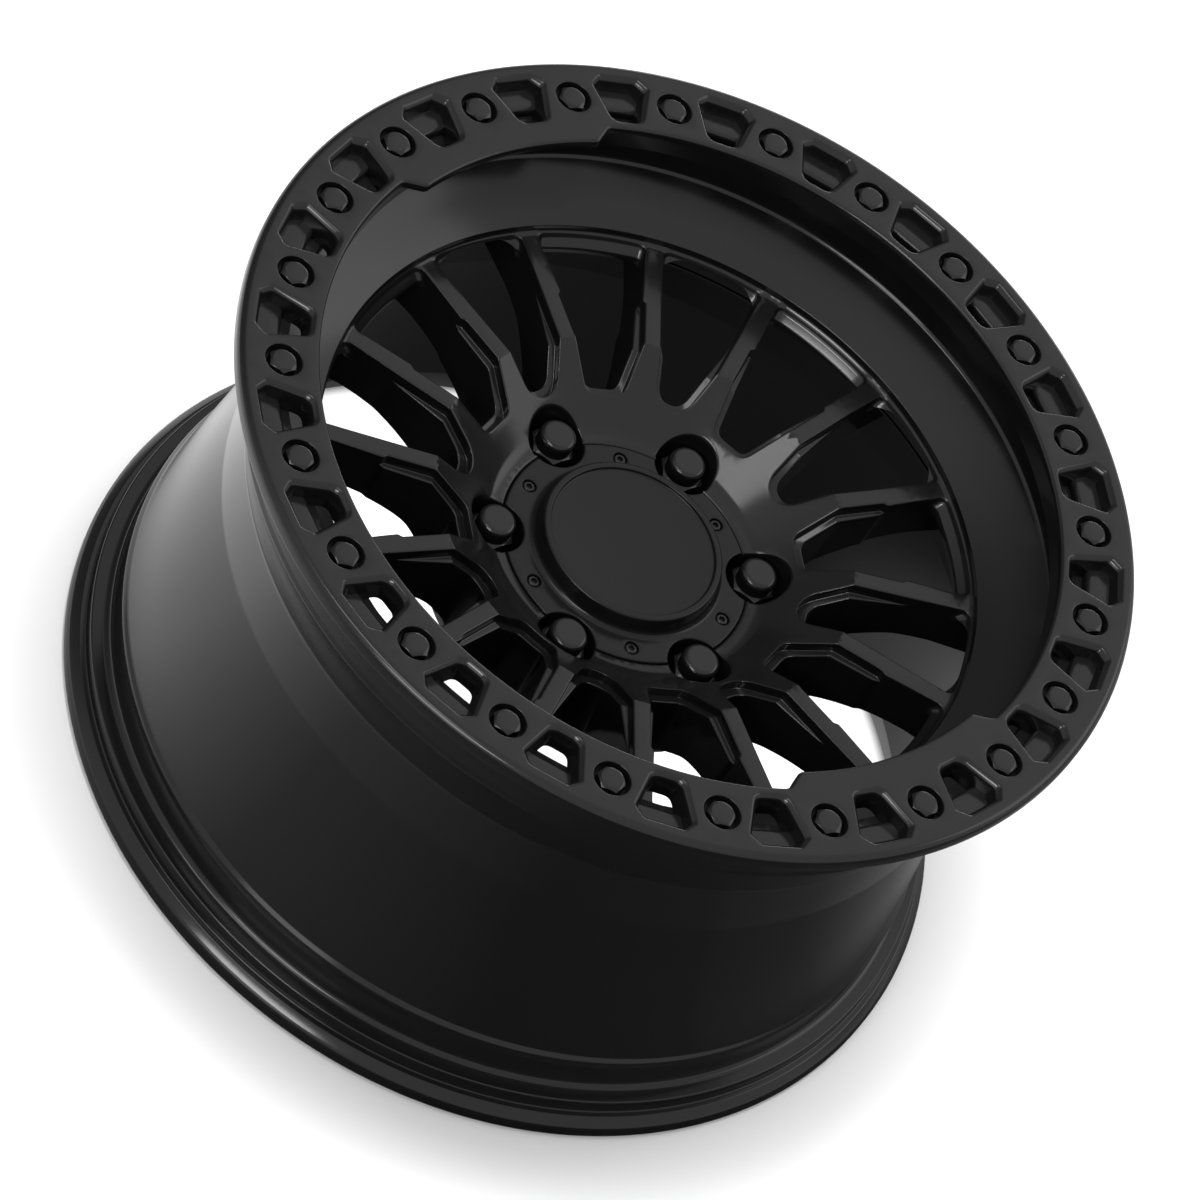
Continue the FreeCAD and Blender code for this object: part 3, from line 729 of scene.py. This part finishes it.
def beadRing():
    top, bottom = flatAt(ring["faceZ"]), flatAt(ring["backZ"])
    step = 360 / ring["count"]
    floorZ = ring["faceZ"] - ring["depth"]
    high, mid, floor = (roundOff(bothSides(ring[key])) for key in ("pocketTop", "pocketMid", "pocketFloor"))
    pocketEdge = high + outward(high) * ring["pocketEdge"]
    rows = softRows([lift(pocketEdge, ring["faceZ"]), lift(high, ring["faceZ"]),
                     lift(mid, ring["faceZ"] - ring["bevel"]), lift(floor, floorZ)],
                    (ring["pocketEdge"], ring["pocketEase"]))
    ledge, drain, drainWall = pocketLedge(floorZ)
    pocket = makeObject("pockets", [strip(rows), ledge, drainWall], ringCoat)
    pockets = repeatRound(pocket, ring["count"], step / 2, ringCoat)
    sinkEdge = circle(ring["sinkR"] + ring["sinkEdge"], ring["sinkSides"], ring["boltR"])
    holes, drains = [], []
    for i in range(ring["count"]):
        holes += [turnPoints(pocketEdge, step / 2 + step * i), turnPoints(sinkEdge, step * i)]
        drains.append(turnPoints(drain, step / 2 + step * i))
    inner = tabbedCircle()
    root = inner * np.maximum(ring["innerR"] / radiusOf(inner), 1)[:, None]  # the ring behind its tabs
    tabZ = ring["faceZ"] - ring["tabThick"]
    innerRows = edgeRows(inner, top, ring["innerEdge"])
    innerRows += [lift(inner, tabZ), lift(root, tabZ), lift(root, ring["backZ"])]
    holes.append(inner + outward(inner) * ring["innerEdge"])
    face = plate(circle(ring["outerR"] - ring["edge"], ring["sides"]), holes, top, ring["faceGap"])
    back = plate(circle(ring["clampR"], ring["sides"]), [*drains, root], bottom, ring["backGap"], flip=True)
    section = roundOff([
        (ring["clampR"], ring["backZ"], 0), (ring["clampR"], ring["clampZ"], ring["stepEdge"]),
        (ring["outerR"], ring["clampZ"], ring["clampEdge"]), (ring["outerR"], ring["faceZ"], ring["edge"]),
        (ring["outerR"] - ring["edgeEnd"], ring["faceZ"], 0)], ring["edgeSteps"], closed=False)
    body = makeObject("ringBody", [face, back, strip(innerRows), revolve(section, ring["sides"])], ringCoat)
    return joinPieces("beadRing", [body, pockets, ringSinks()])


clampRing = beadRing()
print("ring", len(clampRing.data.polygons))


# Fasteners

fastenerCrease = 30
hexSides = 72


def hexagon(apothem, count):  # points at even angles
    a = np.arange(count) * fullTurn / count
    r = apothem / np.cos((a + math.pi / 6) % (math.pi / 3) - math.pi / 6)
    return circle(1.0, count) * r[:, None]


def hexRows(flats, lowZ, highZ, topR, fall):  # hexagon with a round chamfer on top
    wall = hexagon(flats / 2, hexSides)
    chamferZ = highZ - (radiusOf(wall) - topR) * fall
    return [lift(circle(topR, hexSides), highZ), lift(wall, chamferZ), lift(wall, lowZ)]


def roundRows(shape, count):
    return [lift(circle(r, count), z) for r, z in shape]


def fastener(name, rows, circleR, count, firstDegrees, material):  # closed on top, with its copies
    sides = len(rows[0])
    lid = np.vstack((rows[0], rows[0].mean(0))), [(i, (i + 1) % sides, sides) for i in range(sides)]
    moved = [(points + np.array((circleR, 0, 0)), faces) for points, faces in (lid, strip(rows, flip=True))]
    piece = makeObject(name, moved, material, fastenerCrease)
    return repeatRound(piece, count, firstDegrees, material)


bolt = {
    "flats": 13.0, "topZ": 136.1, "topR": 5.7, "fall": 0.67, "crownShare": 0.94, "crown": 0.05,
}


def ringBolts():
    rows = hexRows(bolt["flats"], ring["sinkZ"], bolt["topZ"], bolt["topR"], bolt["fall"])
    crown = lift(rows[0][:, :2] * bolt["crownShare"], bolt["topZ"] + bolt["crown"])
    return fastener("ringBolts", [crown, *rows], ring["boltR"], ring["count"], 0.0, boltCoat)


nut = {
    "flats": 21.0, "lowZ": 17.7, "hexZ": 42.8, "roundR": 9.7, "topZ": 51.5, "edge": 2.6,
    "step": 0.25, "fall": 0.6, "flat": 4.0,
}


def lugNuts():
    hexPart = hexRows(nut["flats"], nut["lowZ"], nut["hexZ"], nut["roundR"] + nut["step"], nut["fall"])
    flatR = nut["roundR"] - nut["flat"]
    shape = roundOff([(flatR, nut["topZ"], 0), (nut["roundR"], nut["topZ"], nut["edge"]),
                      (nut["roundR"], nut["hexZ"], 0)], closed=False)
    rows = roundRows(shape, hexSides) + hexPart
    return fastener("lugNuts", rows, hub["lugCircleR"], hub["lugs"], 0.0, nutCoat)


screw = {
    "headR": 3.0, "lowZ": 42.9, "topZ": 45.2, "keyR": 1.6, "keyDepth": 1.6, "circleR": 57.8, "first": 30.0,
    "flatR": 2.4, "edge": 0.6, "edgeSteps": 4, "sides": 48,
}


def capScrews():
    key = hexagon(screw["keyR"], screw["sides"])
    shape = roundOff([(screw["flatR"], screw["topZ"], 0), (screw["headR"], screw["topZ"], screw["edge"]),
                      (screw["headR"], screw["lowZ"], 0)], screw["edgeSteps"], closed=False)
    keyFloor = lift(key, screw["topZ"] - screw["keyDepth"])
    rows = [keyFloor, lift(key, screw["topZ"]), *roundRows(shape, screw["sides"])]
    return fastener("capScrews", rows, screw["circleR"], hub["lugs"], screw["first"], boltCoat)


bolts = ringBolts()
nuts = lugNuts()
screws = capScrews()
print("fasteners", len(bolts.data.polygons), len(nuts.data.polygons), len(screws.data.polygons))


# Centre cap

cap = {
    "flangeR": 65.2, "flangeZ": 45.5, "edge": 0.9, "scallopR": 15.7, "restPoints": 17,
    "bodyR": 49.2, "draft": 1.7, "root": 3.6, "rootRoom": 0.5, "topZ": 56.0, "topEdge": 1.3,
    "rim": 3.7, "rimEdge": 0.7, "dip": 1.8, "dipEdge": 0.8,
    "skirtR": 49.6, "skirtZ": 34.0, "innerR": 46.2, "roofZ": 51.2,
    "sinkR": 3.8, "sinkEdge": 0.3, "shankR": 1.5, "sinkSides": 40,
    "sides": 192, "faceGap": 4.0, "underGap": 6.0,
}


def screwWells():
    sink = circle(cap["sinkR"], cap["sinkSides"], screw["circleR"])
    shank = circle(cap["shankR"], cap["sinkSides"], screw["circleR"])
    rows = edgeRows(sink, flatAt(cap["flangeZ"]), cap["sinkEdge"], steps=2)
    rows += [lift(sink, screw["lowZ"]), lift(shank, screw["lowZ"])]
    well = makeObject("screwWells", [strip(rows)], capPlastic)
    return repeatRound(well, hub["lugs"], screw["first"], capPlastic)


def centreCap():
    top = flatAt(cap["flangeZ"])
    outline = lugBays(cap["flangeR"], cap["scallopR"], cap["restPoints"], inwards=True)
    rows = [*edgeRows(outline, top, cap["edge"], outer=True), lift(outline, hub["capSeatZ"])]
    sinkEdge = circle(cap["sinkR"] + cap["sinkEdge"], cap["sinkSides"], screw["circleR"])
    holes = [turnPoints(sinkEdge, screw["first"] + 360 / hub["lugs"] * i) for i in range(hub["lugs"])]
    rootR = cap["bodyR"] + cap["root"] + cap["rootRoom"]
    holes.append(circle(rootR, cap["sides"]))
    flange = plate(outline - outward(outline) * cap["edge"], holes, top, cap["faceGap"])
    skirt = circle(cap["skirtR"], cap["sides"])
    under = plate(outline, [skirt], flatAt(hub["capSeatZ"]), cap["underGap"], flip=True)
    topR, dipZ = cap["bodyR"] - cap["draft"], cap["topZ"] - cap["dip"]
    rimR = topR - cap["rim"]
    dome = roundOff([
        (rootR, cap["flangeZ"], 0), (cap["bodyR"], cap["flangeZ"], cap["root"]),
        (topR, cap["topZ"], cap["topEdge"]), (rimR, cap["topZ"], cap["rimEdge"]),
        (rimR, dipZ, cap["dipEdge"]), (0.0, dipZ, 0)], closed=False)
    hollow = [(0.0, cap["roofZ"]), (cap["innerR"], cap["roofZ"]), (cap["innerR"], cap["skirtZ"]),
              (cap["skirtR"], cap["skirtZ"]), (cap["skirtR"], hub["capSeatZ"])]
    turned = [revolve(line, cap["sides"]) for line in (dome, hollow)]
    body = makeObject("capBody", [flange, under, strip(rows, flip=True), *turned], capPlastic)
    return joinPieces("centreCap", [body, screwWells()])


hubCap = centreCap()
print("cap", len(hubCap.data.polygons))

for piece, node, slotName in (
    (wheel, "cast_wheel", "coated_casting"), (clampRing, "bead_ring", "coated_ring"),
    (bolts, "ring_bolts", "dark_bolts"), (hubCap, "centre_cap", "cap_plastic"),
    (screws, "cap_screws", "dark_screws"), (nuts, "lug_nuts", "dark_nuts"),
):
    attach(piece, "root")
    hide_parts(node)


# Floor, light and camera

groundZ = cadBox[0].z
stage = {
    "size": 30.0, "floorGrey": 0.78, "roughness": 0.9,
    "coverR": 0.215, "coveredGlow": 1.1, "coverFade": 0.01,  # painted light: the floor seen through the wheel glows for the camera, washing out the wheel's shadow there
    # painted reflections: the glow that the coat mirrors from the floor, set by azimuth in mirrorRamp,
    # darker under the wheel, with a glowing spot
    "mirrorGlow": 1.4, "coveredMirror": 0.11, "mirrorFade": 0.06,
    # painted reflection: a glowing spot on the floor under the wheel, seen only in the coat
    "patch": (-0.044, -0.164), "patchR": 0.1, "patchCore": 0.4, "patchGlow": 0.3,
    "mirrorRamp": [(0.0, 0.05), (0.06, 0.06), (0.12, 0.14), (0.25, 0.5), (0.35, 0.85), (0.5, 0.55),
                   (0.54, 1.0), (0.66, 0.78), (0.71, 0.46), (0.76, 0.21), (0.84, 0.10), (0.9, 0.03),
                   (1.0, 0.04)],
}


def smoothFade(tree, value, fromRange, toRange):  # a soft step from one value to another
    fade = tree.nodes.new("ShaderNodeMapRange")
    fade.interpolation_type = "SMOOTHSTEP"
    for socket, number in zip(("From Min", "From Max", "To Min", "To Max"), (*fromRange, *toRange)):
        fade.inputs[socket].default_value = number
    tree.links.new(value, fade.inputs["Value"])
    return fade.outputs["Result"]


def combined(tree, operation, one, two):
    node = tree.nodes.new("ShaderNodeMath")
    node.operation = operation
    tree.links.new(one, node.inputs[0])
    tree.links.new(two, node.inputs[1])
    return node.outputs[0]


def floorMaterial():  # near white with the shadow kept; painted light and painted reflections: it glows under the wheel for the camera, and in reflections it glows by azimuth, darker on the camera's side
    material = bpy.data.materials.new("floorWhite")
    material.use_nodes = True
    tree = material.node_tree
    nodes, link = tree.nodes, tree.links.new
    shader = nodes["Principled BSDF"]
    shader.inputs["Base Color"].default_value = (stage["floorGrey"],) * 3 + (1,)
    shader.inputs["Roughness"].default_value = stage["roughness"]
    shader.inputs["Specular IOR Level"].default_value = 0.0
    shader.inputs["Emission Color"].default_value = (1, 1, 1, 1)
    path = nodes.new("ShaderNodeLightPath")
    place = nodes.new("ShaderNodeTexCoord")

    def farFrom(x, y, fromRange, toRange):  # a value that changes with the distance from a spot on the floor
        gap = nodes.new("ShaderNodeVectorMath")
        gap.operation = "DISTANCE"
        gap.inputs[1].default_value = (x, y, groundZ)
        link(place.outputs["Object"], gap.inputs[0])
        return smoothFade(tree, gap.outputs["Value"], fromRange, toRange)

    coverR, patchR = stage["coverR"], stage["patchR"]
    # painted light: inside coverR the floor glows for camera rays, so the wheel's shadow under it shows
    # white
    seen = farFrom(0, 0, (coverR, coverR + stage["coverFade"]), (stage["coveredGlow"], 0.0))
    link(combined(tree, "MULTIPLY", path.outputs["Is Camera Ray"], seen), shader.inputs["Emission Strength"])
    # painted reflection: in the coat the floor glows in bands round the wheel, darker on the camera's side
    turned = nodes.new("ShaderNodeTexGradient")
    turned.gradient_type = "RADIAL"
    link(place.outputs["Object"], turned.inputs["Vector"])
    ramp = nodes.new("ShaderNodeValToRGB")
    stops = ramp.color_ramp.elements
    for at, grey in stage["mirrorRamp"]:
        stop = stops[0] if at == 0 else stops[len(stops) - 1] if at == 1 else stops.new(at)
        stop.color = (grey, grey, grey, 1)
    link(turned.outputs["Fac"], ramp.inputs["Fac"])
    # painted shade in reflections: under and beside the wheel the mirrored floor glow falls to
    # coveredMirror, rising to mirrorGlow farther out
    mirrorRange = stage["coveredMirror"], stage["mirrorGlow"]
    uncovered = farFrom(0, 0, (coverR, coverR + stage["mirrorFade"]), mirrorRange)
    # painted reflection: a glowing spot on the floor under the wheel, seen only in the coat
    patch = farFrom(*stage["patch"], (patchR * stage["patchCore"], patchR), (stage["patchGlow"], 0.0))
    mirrored = nodes.new("ShaderNodeEmission")
    mirrored.inputs["Color"].default_value = (1, 1, 1, 1)
    glow = combined(tree, "MULTIPLY", ramp.outputs["Color"], uncovered)
    link(combined(tree, "ADD", glow, patch), mirrored.inputs["Strength"])
    choice = nodes.new("ShaderNodeMixShader")
    link(path.outputs["Is Glossy Ray"], choice.inputs[0])
    link(shader.outputs[0], choice.inputs[1])
    link(mirrored.outputs[0], choice.inputs[2])
    link(choice.outputs[0], nodes["Material Output"].inputs["Surface"])
    return material


def makeFloor():
    half = stage["size"] / 2
    corners = [(x * half, y * half, groundZ) for x, y in ((-1, -1), (1, -1), (1, 1), (-1, 1))]
    mesh = bpy.data.meshes.new("floor")
    mesh.from_pydata(corners, [], [(0, 1, 2, 3)])
    mesh.materials.append(floorMaterial())
    return linked("floor", mesh)


makeFloor()


def toward(azimuth, elevation):  # unit vector from degrees
    a, e = math.radians(azimuth), math.radians(elevation)
    return Vector((math.cos(e) * math.cos(a), math.cos(e) * math.sin(a), math.sin(e)))


sky = {
    "strength": 0.62,
    "dark": [(-8, 22, 50, 0.8), (-112, 16, 16, 0.5)],  # azimuth, elevation, reach and depth
    "core": 0.1,
}


def makeWorld():
    world = bpy.data.worlds.new("studio")
    bpy.context.scene.world = world
    world.use_nodes = True
    tree = world.node_tree
    place = tree.nodes.new("ShaderNodeTexCoord")
    level = tree.nodes.new("ShaderNodeValue").outputs[0]
    level.default_value = sky["strength"]
    for azimuth, elevation, reach, depth in sky["dark"]:
        facing = tree.nodes.new("ShaderNodeVectorMath")
        facing.operation = "DOT_PRODUCT"
        facing.inputs[1].default_value = toward(azimuth, elevation)
        tree.links.new(place.outputs["Generated"], facing.inputs[0])
        cosines = [math.cos(math.radians(angle)) for angle in (reach, reach * sky["core"])]
        fade = smoothFade(tree, facing.outputs["Value"], cosines, (1.0, 1.0 - depth))
        level = combined(tree, "MULTIPLY", level, fade)
    background = tree.nodes["Background"]
    background.inputs["Color"].default_value = (1, 1, 1, 1)
    tree.links.new(level, background.inputs["Strength"])


makeWorld()

lightDistance = 4.5
lights = {  # azimuth, elevation, width and height in degrees as seen from the wheel, glow, seen in the coat
    "keyLight": (85, 61, 28, 9, 4.4, True),
    "frontLight": (107, 37, 26, 8, 12.0, True),
    "lowLight": (105, 17, 24, 12, 1.8, True),
    "farLight": (-60, 6, 30, 7, 4.0, True),
    "sideLight": (-108, 36, 40, 24, 0.9, True),
    "farPanel": (-60, 50, 44, 30, 0.12, True),
    "shadowLightA": (-80, 81, 14, 14, 30.0, False),
    "shadowLightB": (15, 81, 14, 14, 30.0, False),
}


def softBox(name, azimuth, elevation, wide, high, glow, mirrored):
    data = bpy.data.lights.new(name, "AREA")
    data.shape = "RECTANGLE"
    data.size = lightDistance * math.radians(wide)
    data.size_y = lightDistance * math.radians(high)
    data.energy = glow * math.pi * data.size * data.size_y
    lamp = linked(name, data)
    lamp.location = toward(azimuth, elevation) * lightDistance
    lamp.rotation_mode = "QUATERNION"
    lamp.rotation_quaternion = (-lamp.location).to_track_quat("-Z", "Y")
    lamp.visible_glossy = mirrored


for lightName, values in lights.items():
    softBox(lightName, *values)

# The camera found from the photo: place, and the directions of its right, up and sight
photoView = {
    "lens": 204.7, "sensor": 36.0, "clip": (0.1, 100), "place": (-1.15308, 1.97173, 2.52054),
    "right": (-0.50197, -0.77702, 0.37993), "up": (0.79580, -0.24291, 0.55474),
    "ahead": (0.33872, -0.58081, -0.74029),
}
camera = bpy.data.cameras.new("photoCamera")
view = linked("photoCamera", camera)
camera.lens = photoView["lens"]
camera.sensor_width = photoView["sensor"]
camera.clip_start, camera.clip_end = photoView["clip"]
turn = Matrix((photoView["right"], photoView["up"], -Vector(photoView["ahead"]))).transposed().to_4x4()
turn.translation = photoView["place"]
view.matrix_world = turn
bpy.context.scene.camera = view
bpy.context.scene.view_settings.view_transform = "Standard"
print("stage ready")

bpy.context.view_layer.update()
